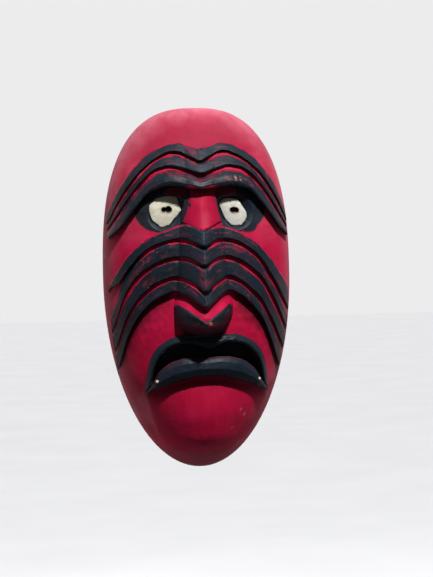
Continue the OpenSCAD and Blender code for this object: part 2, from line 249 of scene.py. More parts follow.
def build(name, verts, faces, material, paint):
    """A smooth mesh. verts are x, depth in front of the rim, and z above the widest level, in mm."""
    v = np.asarray(verts, float)
    co = np.stack([v[:, 0] * MM, -v[:, 1] * MM, (v[:, 2] - DATUM) * MM], 1)
    mesh = bpy.data.meshes.new(name)
    f = [np.asarray(q, np.int64) for q in faces]
    loops = np.concatenate([q.ravel() for q in f])
    sizes = np.concatenate([np.full(len(q), q.shape[1]) for q in f])
    mesh.vertices.add(len(co))
    mesh.vertices.foreach_set("co", co.ravel())
    mesh.loops.add(len(loops))
    mesh.loops.foreach_set("vertex_index", loops)
    mesh.polygons.add(len(sizes))
    mesh.polygons.foreach_set("loop_start", np.concatenate([[0], np.cumsum(sizes)[:-1]]))
    mesh.polygons.foreach_set("loop_total", sizes)
    mesh.update(calc_edges=True)
    mesh.validate()
    a = mesh.attributes.new("paint", "FLOAT_COLOR", "POINT")
    a.data.foreach_set("color", np.asarray(paint, np.float32).ravel())
    mesh.polygons.foreach_set("use_smooth", np.full(len(mesh.polygons), True))
    mesh.materials.append(material)
    return add(name, mesh)


def sheet_faces(rows, cols, first=0, flip=False, wrap=False):
    """Four-sided faces over a grid of points that starts at point first."""
    r, c = np.meshgrid(np.arange(rows - 1), np.arange(cols if wrap else cols - 1), indexing="ij")
    n = (c + 1) % cols
    q = np.stack([r * cols + c, r * cols + n, (r + 1) * cols + n, (r + 1) * cols + c], -1)
    q = q.reshape(-1, 4) + first
    return q[:, ::-1] if flip else q


def rod(rows, cols):
    """Faces of a closed tube of rows rings of cols points, with flat ends."""
    tube = sheet_faces(rows, cols, wrap=True)
    return [tube, np.arange(cols)[None, ::-1], (np.arange(cols) + (rows - 1) * cols)[None, :]]


def slab(name, x, z, top, low, material, top_paint, low_paint, mirrored=False):
    """A closed solid between a top and a bottom sheet over the same grid of places."""
    rows, m = x.shape
    points = np.concatenate([np.stack([x, top, z], -1), np.stack([x, low, z], -1)[:, ::-1]], 1)
    colours = np.concatenate([top_paint, low_paint[:, ::-1]], 1)
    faces = [sheet_faces(rows, 2 * m, wrap=True, flip=mirrored)]
    for row, turned in ((0, mirrored), (rows - 1, not mirrored)):
        i = row * 2 * m + np.arange(m - 1)
        j = row * 2 * m + 2 * m - 1 - np.arange(m - 1)
        cap = np.stack([i, i + 1, j - 1, j], -1)
        faces.append(cap[:, ::-1] if turned else cap)
    return build(name, points.reshape(-1, 3), faces, material, colours.reshape(-1, 4))


def edge_z(points, x):
    """Height of a feature line at distance x from the middle."""
    p = line(points, 60)
    return np.interp(np.abs(x), p[:, 0], p[:, 1])


def cheek_z(band, edge, x):
    """Height of a cheek band's upper (0) or lower (1) line at x."""
    return edge_z(CHEEK[band][edge], x - drift(x))


def lowest_band(x):
    return cheek_z(3, 1, x)


def mouth_gap(x, z):
    """How far a place lies inside the mouth's opening."""
    return np.minimum(edge_z(LIP[1], x - MOUTH_X) - z, z - edge_z(MOUTH_LOW, x - MOUTH_X))


def lip_crease(x):
    return edge_z(LOWER_LIP[1], x - MOUTH_X)


def in_eye(x, z, rx=24.0, rz=17.5):
    """Below 1 inside the eye sockets' ovals, rx by rz."""
    return ((np.abs(x) - SOCKET_X) / rx) ** 2 + ((z - SOCKET_Z) / rz) ** 2


def chin_side(z):
    """Half width of the chin's boss."""
    return np.interp(z, [-176, -150, -128, -106, -98], [30, 42, 50.5, 56, 58])


def white_edge(theta, side):
    """Radius of an eye white's cut edge in direction theta from its peephole."""
    p = np.array(WHITES[side], float) * [side, 1]
    q = np.roll(p, -1, 0)
    d = np.stack([np.cos(theta), np.sin(theta)], -1)[..., None, :]
    e = q - p
    den = d[..., 0] * e[:, 1] - d[..., 1] * e[:, 0]
    den = np.where(np.abs(den) < 1e-9, 1e-9, den)
    t = (p[:, 0] * e[:, 1] - p[:, 1] * e[:, 0]) / den
    u = (p[:, 0] * d[..., 1] - p[:, 1] * d[..., 0]) / den
    ok = (t > 0) & (u >= -1e-6) & (u <= 1 + 1e-6)
    return np.where(ok, t, 0).max(-1)


MOUTH_DEPTH, MOUTH_HALF = 9.0, 50.2
CHIN_STEP, CHIN_FULL = 1.8, 5.5
SOCKET_RIM, SOCKET_DEPTH = 58.5, 10


def shell_front(x, z):
    """Depth of the carved front, with sockets, mouth, cheek hollows, chin edge and tool marks."""
    inside = step(1.0, 0.93, rho(x, z))
    ax, mx = np.abs(x), np.abs(x - MOUTH_X)
    h = skin(x, z) + inside * 0.5 * fbm(x / 26, z / 26, 3)
    # the cheek is cut back under the lowest cheek band, with a gouge
    low = lowest_band(x)
    below = np.clip((low - z), 0, 60)
    cut = np.exp(-(below / 9.0) ** 2) * (z < low + 1) * step(22, 30, ax)
    h -= 2.6 * cut * inside
    marks = scoops(x / 6.5 + z / 40, z / 9 - x / 50, 11)
    marks = 0.9 * (marks - 0.3) * step(2, 6, below) * step(46, 20, below)
    h += marks * step(24, 32, ax) * inside * (z < low)
    # slight flats all over, as left by the knife and then painted
    flats = scoops(x / 13 + 7, z / 16, 5)
    h += 0.28 * (flats - 0.3) * inside
    # chin: a raised boss with a soft edge from each mouth corner down
    side = chin_side(z)
    h += CHIN_STEP * (step(side + 2.5, side - 2.5, mx) - 1) * step(-96, -108, z) * inside
    # and full down to where it turns under
    h += CHIN_FULL * hump(z, -154, 14) * hump(x, -4, 44) * inside
    crease = lip_crease(x) - 1.5
    h -= 1.5 * hump(z, crease - 2.5, 4.0) * step(54, 44, mx) * inside
    # eye sockets
    e = in_eye(x, z)
    dish = SOCKET_RIM - SOCKET_DEPTH * np.sqrt(np.maximum(0, 1 - e))
    h = np.where(e < 1, np.minimum(h, dish + 0.25 * fbm(x / 5, z / 5, 8)), h)
    # flat seats of the eye whites, each with a steep wall
    for side in (-1, 1):
        dx, dz = x - side * EYE_X, z - EYE_Z[side]
        near = np.hypot(dx, dz) - white_edge(np.arctan2(dz, dx), side)
        h = np.where(side * x > 0, np.minimum(h, SEAT_DEPTH + 12 * step(0.2, 1.4, near)), h)
    h -= MOUTH_DEPTH * step(-0.6, 0.8, mouth_gap(x, z)) * (mx < MOUTH_HALF)
    return h


# places where the chin's paint has chipped: x, z, radius
CHIN_CHIPS = ((37, -126, 1.3), (25.5, -137, 0.9), (32, -153, 1.1), (33.5, -121, 0.8), (12, -149, 0.6))


def strongest(*layers):
    return np.maximum.reduce(layers)


def shell_paint(x, z, h):
    """Red channel: black paint. Green: dark red paint and painted shade. Blue: dust and a painted sheen.
    Alpha: bare wood.
    """
    ax, mx = np.abs(x), np.abs(x - MOUTH_X)
    wob = 0.08 * fbm(x / 7, z / 7, 21)
    # black sockets, which run out further on the left
    black = step(1.06, 0.98, in_eye(x, z, 25.5, 19.0) + wob)
    reach = np.where(x < 0, 12.5, 8.5)
    outer = step(1.0, 0.93, ((ax - 45) / reach) ** 2 + ((z - 56) / 13) ** 2 + wob)
    # black under the brow roll
    roll = edge_z(BROW[2][1], x)
    under_roll_black = step(13, 8, np.abs(ax - 36) - 12) * step(roll - 7, roll - 2, z + 8 * wob) * (z < roll + 2)
    mouth = step(-1.5, 0, mouth_gap(x, z)) * (mx < 51)
    # the gap between the first two cheek bands is black towards the left
    gap = step(-1.5, 0.5, cheek_z(0, 1, x) + 1 - z) * step(-1.5, 0.5, z + 1 - cheek_z(1, 0, x))
    gap = gap * step(-50, -57, x) * step(-76, -72, x)
    # black runs out below the right eye, and red shows between the roll and the whites, darkened there
    # with painted shade
    run = step(1.1, 0.9, ((x - 42) / 9) ** 2 + ((z - 44) / 6.5) ** 2 + wob)
    brow_red = step(1.0, 0.6, ((ax - 20) / 13) ** 2 + ((z - 74.5) / 4.5) ** 2 + wob)
    black = strongest(black, outer, under_roll_black, mouth, gap, run) * (1 - 0.85 * brow_red)
    # dark red below the lowest band, partly paint and partly painted shade; painted shadow under the nose,
    # and painted shade with brush strokes below the lower lip's crease
    below = lowest_band(x) - z
    dark = step(24, 4, below + 8 * fbm(x / 14, z / 14, 31)) * (below > -2)
    dark = dark * step(24, 34, ax) * step(75, 60, ax * 0.4 + below)
    nose_shade = 0.8 * step(-52, -58, z) * step(30, 18, ax) * (z > -70)
    crease = lip_crease(x)
    strokes = 0.5 + 0.5 * fbm(x / 16, z / 1.6, 33)
    under_shade = step(crease - 15 + 4 * fbm(x / 9, z / 9, 35), crease - 2, z) * (z < crease + 3) * (mx < 57)
    under_shade = under_shade * (0.45 + 0.5 * strokes)
    # painted shade: the underside of the chin is darker, with a darker spot low in the middle, and the
    # forehead is darkened where the light falls on it most
    chin_shade = strongest(0.65 * step(-152, -172, z + 6 * fbm(x / 12, z / 12, 37)),
                           0.6 * step(-146, -170, z + 5 * fbm(x / 14, z / 10, 45)),
                           0.5 * hump(np.hypot(x + 1, z + 151), 0, 5))
    brushed = 0.5 + 0.5 * fbm(x / 18, z / 7, 44, 4)
    forehead_shade = (0.46 + 0.16 * brushed) * step(84, 118, z)
    dark = strongest(dark, nose_shade, under_shade, chin_shade, forehead_shade, brow_red)
    # dust and a painted sheen in dusty red down the sides, beside the chin's boss, on the forehead and on
    # the temples
    dust_and_sheen = step(40, 8, h + 5 * fbm(x / 20, z / 20, 41)) * step(-150, -125, z)
    chin = step(-100, -112, z) * step(chin_side(z) - 3, chin_side(z) + 1, mx)
    dust_and_sheen = strongest(dust_and_sheen, 0.75 * chin * step(-150, -125, z), 0.10 * brushed * step(70, 100, z),
                     0.45 * brushed * step(20, 45, z) * step(40, 56, ax))
    for chip_x, chip_z, radius in CHIN_CHIPS:
        d = np.hypot(x - chip_x, (z - chip_z) * 0.8) + 0.7 * noise(x / 0.9, z / 0.9, 43)
        dust_and_sheen = np.maximum(dust_and_sheen, step(radius, radius - 0.5, d))
    return np.stack([black, dark, dust_and_sheen, np.zeros_like(x)], -1)


AROUND, FRONT_RINGS, HOLLOW_RINGS = 420, 200, 100
SAWN_RINGS = (1.2, 3.5, 6.0, RIM_W - 0.8)       # distances in from the outline, on the flat rim
GOUGE = 2.1


def shell(material):
    """The hollow oval in one closed mesh: front, sawn rim and gouged hollow."""
    angle = np.arange(AROUND) * 2 * math.pi / AROUND
    c, s = np.cos(angle), np.sin(angle)
    i = np.arange(AROUND)
    after = (i + 1) % AROUND
    verts, paint, faces = [], [], []

    def ring(k, inner):
        """Places around the mask at k of the outline moved in by inner."""
        e = rho(c, s, inner)
        return c / e * k, s / e * k

    def inwards(rings):
        """From the outline towards the middle, closer together near the outline."""
        return np.sin(np.linspace(math.pi / 2, 0, rings + 1)[:-1])

    def close(first, middle):
        """Triangles from a ring to the point in its middle."""
        faces.append(np.stack([first + i, np.full(AROUND, middle), first + after], -1))

    # front, from the rim to the middle of the face
    for row, k in enumerate(inwards(FRONT_RINGS)):
        x, z = ring(k, 0.0)
        h = shell_front(x, z) if row else np.zeros_like(x)
        verts.append(np.stack([x, np.maximum(h, 0.0), z], -1))
        paint.append(shell_paint(x, z, h))
    faces.append(sheet_faces(FRONT_RINGS, AROUND, wrap=True, flip=True))
    middle = FRONT_RINGS * AROUND
    verts.append(np.array([[0, float(shell_front(np.zeros(1), np.zeros(1))[0]), 0]]))
    paint.append(np.zeros((1, 4)))
    close(middle - AROUND, middle)
    # rim of bare wood, with saw marks and some red over its outer edge
    base = middle + 1
    for inner in SAWN_RINGS:
        x, z = ring(1.0, inner)
        saw = 0.12 * noise(x / 1.3, z / 9, 77)
        verts.append(np.stack([x, np.maximum(saw + 0.12, 0), z], -1))
        spill = step(6.5, 0.5, np.full(AROUND, inner) + 2.2 * noise(angle * 9, angle * 0 + 3, 12))
        paint.append(np.stack([0 * x, 0 * x, spill * 0.5, 1 - 0.8 * spill], -1))
    # hollow of bare wood, with gouge marks
    for k in inwards(HOLLOW_RINGS):
        x, z = ring(k, RIM_W)
        h = dome(rho(x, z, RIM_W), HOLLOW_DEPTH)
        marks = scoops(x / 10 + 0.2 * z / 9, z / 19, 51)
        h = h - GOUGE * np.clip(marks, 0, 0.8) * step(0, 8, h)
        verts.append(np.stack([x, np.maximum(h, 0.15), z], -1))
        paint.append(np.tile(BARE, (AROUND, 1)))
    rings = len(SAWN_RINGS) + HOLLOW_RINGS
    faces.append(sheet_faces(rings, AROUND, first=base, wrap=True, flip=True))
    # the outline's edge joins the front to the rim
    faces.append(np.stack([i, base + i, base + after, after], -1))
    middle = base + rings * AROUND
    verts.append(np.array([[0, HOLLOW_DEPTH - 0.4, 0]]))
    paint.append(np.array([BARE]))
    close(middle - AROUND, middle)
    return build("carved_face_shell", np.vstack(verts), faces, material, np.vstack(paint))


def repaint(o, pick, value):
    """Sets the paint of the points that pick chooses, from their place in mask millimetres."""
    mesh = o.data
    co = np.empty(len(mesh.vertices) * 3, np.float32)
    colour = np.empty(len(mesh.vertices) * 4, np.float32)
    mesh.vertices.foreach_get("co", co)
    co = co.reshape(-1, 3) / MM
    data = mesh.attributes["paint"].data
    data.foreach_get("color", colour)
    colour = colour.reshape(-1, 4)
    colour[pick(np.stack([co[:, 0], -co[:, 1], co[:, 2] + DATUM], 1))] = value
    data.foreach_set("color", colour.ravel())


def apply_modifiers(target):
    """Keeps the mesh that the modifiers give, with the target's own material."""
    dg = bpy.context.evaluated_depsgraph_get()
    made = target.evaluated_get(dg)
    mesh = bpy.data.meshes.new_from_object(made, preserve_all_data_layers=True, depsgraph=dg)
    target.modifiers.clear()
    old = target.data
    target.data = mesh
    bpy.data.meshes.remove(old)
    while len(mesh.materials) > 1:
        mesh.materials.pop()
    mesh.polygons.foreach_set("material_index", np.zeros(len(mesh.polygons), np.int32))


def combine(target, other, operation):
    """Joins the other solid to the target, or cuts it out of it, for good."""
    m = target.modifiers.new("combine", "BOOLEAN")
    m.operation, m.object, m.solver = operation, other, "EXACT"
    apply_modifiers(target)
    bpy.data.objects.remove(other)


DRILL_SIDES = 24


def drill(target, radius, start, end, paint):
    """Drills a round hole between two points in mask millimetres, and paints its wall."""
    p, q = np.array(start, float), np.array(end, float)
    length = np.linalg.norm(q - p)
    d = (q - p) / length
    u = np.cross(d, [0.3, 0.2, 0.9])
    u /= np.linalg.norm(u)
    v = np.cross(d, u)
    turn = np.arange(DRILL_SIDES) * 2 * math.pi / DRILL_SIDES
    circle = np.cos(turn)[:, None] * u + np.sin(turn)[:, None] * v
    bit = build("drill", np.vstack([p + radius * circle, q + radius * circle]), rod(2, DRILL_SIDES),
                PAINTED, np.tile(paint, (2 * DRILL_SIDES, 1)))
    combine(target, bit, "DIFFERENCE")

    def wall(c):
        along = (c - p) @ d
        near = np.linalg.norm(np.cross(c - p, d), axis=1) < radius + 0.06
        return near & (along > 0) & (along < length)
    repaint(target, wall, paint)


def soft_crown(crown, w, width):
    """Height of a band's cross-section at places w across it, with its corners worn round."""
    fine = np.linspace(0, 1, 201)
    h = np.interp(fine, *np.array(crown, float).T)
    h = np.convolve(np.pad(h, 4, mode="edge"), np.ones(9) / 9, mode="valid")
    edge = np.minimum(fine, 1 - fine) * width
    h = h - 0.9 * np.exp(-(edge / 0.7) ** 2)
    return np.interp(w, fine, h)


WOBBLE = 0.7         # unevenness of a band's hand-cut edges


def strip(name, lines, crown, material, seed, paint_fn, across=26, marks=0.4, shift=0.0,
          drifted=False, hooked=False):
    """A carved band between two feature lines, let into the face like its CAD node."""
    upper, lower = both(lines[0]), both(lines[1])
    if drifted:
        upper[:, 0] += drift(upper[:, 0])
        lower[:, 0] += drift(lower[:, 0])
    along = np.concatenate([[0], np.cumsum(np.hypot(*np.diff(upper, axis=0).T))])
    upper = upper + np.stack([0 * along, WOBBLE * fbm(along / 10, along * 0 + seed, seed, 4)], -1)
    lower = lower + np.stack([0 * along, WOBBLE * fbm(along / 8, along * 0 + seed + 5, seed + 2, 4)], -1)
    if hooked:        # the left side stands higher over the nose, and stops short of the rim
        upper = upper + (hump(upper[:, 0], -15, 11))[:, None] * [0, 2.6]
        rise = np.interp(-lower[:, 0], [60, 68, 73.4, 77, 79.4, 82], [0, 2.0, 6.0, 14, 21, 22])
        lower = lower + rise[:, None] * [0, 1]
        upper = upper + step(-66, -81, upper[:, 0])[:, None] * [0, 2.5]
    width = np.hypot(*(upper - lower).T)
    w = np.unique(np.concatenate([np.linspace(0, 1, across), [0.02, 0.05, 0.1, 0.9, 0.95, 0.98]]))
    height = soft_crown(crown, w, np.median(width))
    share = w[None, :, None]
    place = upper[:, None, :] * (1 - share) + lower[:, None, :] * share
    if hooked:        # and curls into a point
        curl = step(7.5, 1.0, along)[:, None] * step(0.3, 1.0, w)
        place = place + curl[..., None] * [-1.0, -2.4]
    x, z = place[..., 0] + shift, place[..., 1]
    run = np.repeat(along[:, None], len(w), 1)
    down = w[None, :] * width[:, None]
    tool = scoops(run / 8.5, down / 7 + seed, seed + 9) - 0.3
    rough = marks * tool + 0.18 * fbm(run / 5, down / 3 + seed, seed + 4)
    rough *= step(0, 0.12, w)[None, :] * step(1.0, 0.93, w)[None, :]
    base = relief(x, z)
    inside = step(1.0, 0.975, rho(x, z))
    top = base + (height[None, :] + rough) * (0.25 + 0.75 * inside)
    colour = paint_fn(run, np.repeat(w[None, :], len(x), 0), x, z)
    return slab(name, x, z, top, base - LET_IN, material, colour, colour * [1, 1, 1, 0])


# ------------ nose
NOSE_TOP, NOSE_FOOT = 76.5, -55.0
TIP_HALF = 26.5          # half width of the nose where the bridge meets the tip


def v_line(ax):
    """Height of the V between the red bridge and the black tip."""
    return np.interp(ax, [0, 23, 34], [-41, -25, -33])


def nose_step(x):
    """Height of the V-shaped step between the eyes."""
    return 38.6 + 0.47 * np.abs(x) + 0.5 * fbm(x / 5, x * 0, 64)


def split_z(s):
    """Where the red bridge ends and the black tip begins, down the nose at place s across."""
    return v_line(np.abs(s) * TIP_HALF)


def nose_top(x, z, s):
    """Depth of the bridge's surface."""
    h = relief(x, z)
    # cut back below the lowest cheek band, less and less towards the tip
    low = lowest_band(x)
    t = np.clip((low - z) / np.maximum(low - v_line(np.abs(x)), 1), 0, 1.6)
    h = h - 3.2 * (1 - t) * (z < low) * (t < 1) * step(0.0, 0.1, t)
    # V-shaped step above the first cheek band
    vee = nose_step(x)
    cut = 1.3 * step(vee + 0.8, vee - 0.6, z) + 0.8 * hump(z, vee, 0.9)
    h = h - cut * (z > 34) * step(1.0, 0.9, np.abs(s))
    h = h + 0.35 * (scoops(x / 8 + 3, z / 12, 61) - 0.3) * step(1, 0.85, np.abs(s))
    return h + 0.25 * fbm(x / 9, z / 9, 62)


def nose_piece(name, z_from, z_to, rows, material, top_fn, paint_fn):
    """A length of the nose between two heights, which may change with the place s across it."""
    cols = 72
    s = np.sin(np.linspace(-math.pi / 2, math.pi / 2, cols + 1))
    s = 0.5 * s + 0.5 * np.linspace(-1, 1, cols + 1)
    t = np.linspace(0, 1, rows)[:, None]
    z = z_from(s)[None, :] * (1 - t) + z_to(s)[None, :] * t
    x = s[None, :] * nose_half(z)
    across = np.repeat(s[None, :], rows, 0)
    top = top_fn(x, z, across)
    low = np.minimum(skin(x, z) - LET_IN, top - 0.5)
    colour = paint_fn(x, z, across)
    return slab(name, x, z, top, low, material, colour, colour, mirrored=True)


def bridge_paint(x, z, s):
    """Red, with black flanks beside the eyes and black where the cheek bands cross, painted shade in its
    folds, and dust with a painted highlight along its ridge.
    """
    ax = np.abs(x)
    wob = 1.2 * fbm(x / 4, z / 6, 71)
    black = step(7.5, 5.0, ax + wob) * step(39, 36, z) * step(-19, -14, z)
    flank = np.interp(z, [40, 46, 58, 70, 78], [0.0, 1.4, 4.2, 4.4, 3.6]) * np.where(x < 0, 1, 0.3)
    black = np.maximum(black, step(-0.4, 0.4, ax + wob * 0.6 - (nose_half(z) - flank)) * (z > 41))
    # the upper bridge is a little darker; painted shade makes it darker towards the flanks, in the fold
    # above the tip (more on the left), along the V-shaped step and under the brow roll
    low = lowest_band(x)
    fold_shade = step(0.62, 0.38, (low - z) / np.maximum(low - v_line(ax), 1)) * (z < low + 1)
    dark = (0.22 + 0.25 * step(0.3, 0.9, np.abs(s))) * (z > 44) + fold_shade * np.where(x < 0, 0.9, 0.45)
    dark = np.maximum(dark, 0.8 * hump(z, nose_step(x) + 0.8, 1.3) * step(0, 9, ax))
    dark = np.maximum(dark, 0.7 * step(70, 76, z + wob))
    mark = step(1.5, 0.9, np.hypot(x + 10.5, (z - 63) * 0.7) + 0.5 * wob)
    black = np.maximum(black, mark)
    # dust and a painted highlight along the ridge of the bridge
    dust_and_sheen = 0.3 * hump(x - 2, 0, 4) * (z > 42) * step(62, 48, z)
    return np.stack([black, np.clip(dark, 0, 1), np.clip(dust_and_sheen, 0, 1), 0 * x], -1)


def wing_lift(x):
    return 5.5 * (np.abs(x) / 26) ** 2


def under_line(x):
    """Lower front edge of the black tip, higher at the wings."""
    return -45.2 + wing_lift(x)


def tip_top(x, z, s):
    """Depth of the tip's surface."""
    # the wings turn under earlier than the middle
    lift = wing_lift(x) * step(-30, -40, z) * step(-55, -50, z)
    h = np.minimum(relief(x, z), relief(x, z - lift))
    edge = np.clip(v_line(np.abs(x)) - z, 0, 30)
    h = h + 1.6 * step(0, 2.0, edge) * step(1.0, 0.9, np.abs(s)) * step(-54, -47, z)
    h = h + 0.5 * (scoops(x / 6, z / 6, 81) - 0.3) * step(1, 0.85, np.abs(s)) * step(-54, -48, z)
    return h


def tip_paint(x, z, s):
    """Black, with red darkened into painted shade underneath, and worn to red and bare wood along its
    lower edge.
    """
    n = fbm(x / 3.5, z / 3.5, 91, 4)
    edge = z - under_line(x)
    worn = step(0.0, 0.3, n + 0.9 * hump(x, 3, 14) * hump(edge, 0.5, 2.6) - 0.62)
    tan = step(0.2, 0.5, n + 0.9 * hump(x, 3, 7) * hump(z, -42, 2.2) - 0.55)
    under_shade = step(0.6, -0.8, edge + 0.9 * fbm(x / 5, z / 6, 93))
    black = (1 - under_shade) * (1 - worn) * (1 - tan)
    dark = np.clip(under_shade + 0.6 * worn, 0, 1) * (1 - tan)
    return np.stack([np.maximum(black, 0.55 * under_shade), dark, 0.9 * tan, 0.8 * tan], -1)


# ------------ eyes, pegs
def lobes(theta, side, seed):
    """Radius of a two-lobed peephole in direction theta."""
    radius = 0
    for c, r in PEEP[side]:
        c = side * c
        reach = c * np.cos(theta) + np.sqrt(np.maximum(r * r - (c * np.sin(theta)) ** 2, 0.01))
        radius = np.maximum(radius, reach)
    return radius + 0.28 * noise(np.cos(theta) * 2.2 + 5, np.sin(theta) * 2.2 + 5, seed)


def eye(name, side, material, seed):
    """A cream white with a cut outline, a slightly domed front and a slanting peephole."""
    n = 160
    th = np.arange(n) * 2 * math.pi / n
    inner, outer = lobes(th, side, seed), white_edge(th, side)
    outer = outer + 0.3 * noise(th * 4, th * 0 + 2, seed + 1)
    verts, paint = [], []

    def ring(r, depth, up, dirt_and_shade):
        x, z = side * EYE_X + r * np.cos(th), EYE_Z[side] + r * np.sin(th) + up
        verts.append(np.stack([x, np.zeros(n) + depth, z], -1))
        d = np.zeros((n, 4))
        d[:, 1] = dirt_and_shade
        paint.append(d)

    back, front = EYE_FRONT - EYE_THICK, EYE_FRONT
    # the peephole's wall is darkened with painted shade
    for depth in np.linspace(back, front - 0.5, 6):
        ring(inner, depth, (front - depth) * PEEP_SLANT, 1.0)
    ring(inner + 0.25, front - 0.12, 0, 0.8)
    for k in np.linspace(0.03, 0.955, 22):
        r = inner + (outer - inner) * k
        x, z = r * np.cos(th), r * np.sin(th)
        marks = 0.22 * (scoops(x / 6 + seed, z / 6, seed + 3) - 0.3)
        h = front + 1.0 * (1 - k ** 2) - 0.25 + marks + 0.06 * noise(x / 1.5, z / 1.5, seed)
        ring(r, np.minimum(h, front + 0.9), 0, 0.55 * step(0.18, 0.0, k) + 0.35 * step(0.85, 1.0, k))
    ring(outer - 0.12, front - 0.45, 0, 0.6)
    ring(outer, front - 0.9, 0, 0.8)
    ring(outer, back, 0, 0.9)
    rows = len(verts)
    i = np.arange(n)
    after = (i + 1) % n
    back_face = np.stack([(rows - 1) * n + i, (rows - 1) * n + after, after, i], -1)
    return build(name, np.vstack(verts), [sheet_faces(rows, n, wrap=True), back_face],
                 material, np.vstack(paint))


def pegs(material):
    """Two short wooden pegs at the ends of the lower lip, as one piece."""
    n = 24
    th = np.arange(n) * 2 * math.pi / n
    verts, faces, first = [], [], 0
    for side, radius, lean, proud in ((-1, 1.55, 0.22, 8.3), (1, 1.5, -0.1, 7.9)):
        place = MOUTH_X + side * PEG_X
        front = float(skin(np.array(place), np.array(PEG_Z))) + proud
        r = radius * (1 + 0.07 * noise(np.cos(th) * 2 + 9, np.sin(th) * 2 + 9, 5 + side))
        rings = []
        for ahead, k in ((-10.5, 1.0), (-3, 1.0), (-0.5, 0.98), (0, 0.8), (0.15, 0.35)):
            d = front + ahead
            x = place + r * k * np.cos(th) + lean * (d - front + 3) * 0.1
            depth = d + 0.25 * np.cos(th * 2 + side) * (d > front - 1)
            rings.append(np.stack([x, depth, PEG_Z + r * k * np.sin(th)], -1))
        verts.append(np.vstack(rings))
        faces += [f + first for f in rod(len(rings), n)]
        first += len(rings) * n
    return build("carved_lip_pegs", np.vstack(verts), faces, material, np.tile(BARE, (first, 1)))


BLOCK_HALF, BLOCK_LOW, BLOCK_HIGH = 13, 105, 137
BLOCK_FRONT, BLOCK_BACK = 12.0, (38.0, 24.0)       # depths of the strap's face, and inside the shell


def hanging_block(material):
    """The wood left standing in the top of the hollow, which the strap is screwed to."""
    n, rows = 15, 15
    u, t = np.meshgrid(np.linspace(-1, 1, n), np.linspace(0, 1, rows))
    x, z = BLOCK_HALF * u, BLOCK_LOW + (BLOCK_HIGH - BLOCK_LOW) * t
    # the face that the strap lies on, with its corners knocked off
    corners = np.maximum(step(0.82, 1.0, np.abs(u)), step(0.12, 0.0, t))
    beside = step(6.5, 8.5, np.abs(x))
    depth = BLOCK_FRONT + 1.6 * corners + 0.35 * beside * (scoops(x / 6, z / 8, 401) - 0.2).clip(0)
    front = np.stack([x, depth, z], -1).reshape(-1, 3)
    back = np.stack([x, np.interp(z, [BLOCK_LOW, BLOCK_HIGH], BLOCK_BACK), z], -1).reshape(-1, 3)
    k = n * rows
    idx = np.arange(k).reshape(rows, n)
    border = np.concatenate([idx[0, :-1], idx[:-1, -1], idx[-1, :0:-1], idx[:0:-1, 0]])
    after = np.roll(border, -1)
    faces = [sheet_faces(rows, n), sheet_faces(rows, n, first=k, flip=True),
             np.stack([after, border, border + k, after + k], -1)]
    return build("hanging_block", np.vstack([front, back]), faces, material, np.tile(BARE, (2 * k, 1)))


def in_block(c):
    """True for the points of the hanging block, away from the mask's front."""
    middle, half = (BLOCK_LOW + BLOCK_HIGH) / 2, (BLOCK_HIGH - BLOCK_LOW) / 2
    near = (np.abs(c[:, 0]) < BLOCK_HALF + 0.1) & (np.abs(c[:, 2] - middle) < half + 0.1)
    return near & (c[:, 1] < skin(c[:, 0], c[:, 2]) - 4)


# ------------ materials
class Graph:
    """A short way to write shader nodes."""

    def __init__(self, name):
        self.m = bpy.data.materials.new(name)
        self.m.use_nodes = True
        self.n, self.l = self.m.node_tree.nodes, self.m.node_tree.links
        self.n.clear()
        out = self.new("OutputMaterial")
        self.b = self.new("BsdfPrincipled")
        self.l.new(self.b.outputs[0], out.inputs[0])
        self.co = self.new("TexCoord").outputs["Object"]

    def new(self, kind):
        return self.n.new("ShaderNode" + kind)

    def put(self, socket, value):
        if isinstance(value, bpy.types.NodeSocket):
            self.l.new(value, socket)
        else:
            socket.default_value = value

    def shade(self, socket, value):
        self.put(self.b.inputs[socket], value)

    def scaled(self, sx, sy, sz):
        v = self.new("Mapping")
        v.inputs["Scale"].default_value = (sx, sy, sz)
        self.l.new(self.co, v.inputs["Vector"])
        return v.outputs[0]

    def noise(self, scale, detail=4, rough=0.55, stretch=(1, 1, 1), distort=0.0):
        t = self.new("TexNoise")
        self.l.new(self.scaled(*stretch), t.inputs["Vector"])
        values = {"Scale": scale, "Detail": detail, "Roughness": rough, "Distortion": distort}
        for key, value in values.items():
            t.inputs[key].default_value = value
        return t.outputs["Fac"]

    def ramp(self, fac, *stops):
        r = self.new("ValToRGB")
        while len(r.color_ramp.elements) < len(stops):
            r.color_ramp.elements.new(0.5)
        for e, (p, c) in zip(r.color_ramp.elements, stops):
            e.position = p
            e.color = (c, c, c, 1) if isinstance(c, (int, float)) else (*c, 1)
        self.l.new(fac, r.inputs[0])
        return r.outputs[0]

    def mix(self, fac, a, b):
        x = self.new("Mix")
        x.data_type = "RGBA"
        self.put(x.inputs[0], fac)
        self.put(x.inputs[6], a if isinstance(a, bpy.types.NodeSocket) else (*a, 1))
        self.put(x.inputs[7], b if isinstance(b, bpy.types.NodeSocket) else (*b, 1))
        return x.outputs[2]

    def math(self, op, a, b=0.0, c=None, clamp=False):
        x = self.new("Math")
        x.operation, x.use_clamp = op, clamp
        self.put(x.inputs[0], a)
        self.put(x.inputs[1], b)
        if c is not None:
            self.put(x.inputs[2], c)
        return x.outputs[0]

    def bump(self, height, distance, strength=1.0, normal=None):
        x = self.new("Bump")
        x.inputs["Distance"].default_value = distance
        x.inputs["Strength"].default_value = strength
        self.l.new(height, x.inputs["Height"])
        if normal is not None:
            self.l.new(normal, x.inputs["Normal"])
        return x.outputs[0]

    def paint(self):
        """The four channels of the mesh's paint attribute."""
        a = self.new("Attribute")
        a.attribute_name = "paint"
        s = self.new("SeparateColor")
        self.l.new(a.outputs["Color"], s.inputs[0])
        return s.outputs[0], s.outputs[1], s.outputs[2], a.outputs["Alpha"]


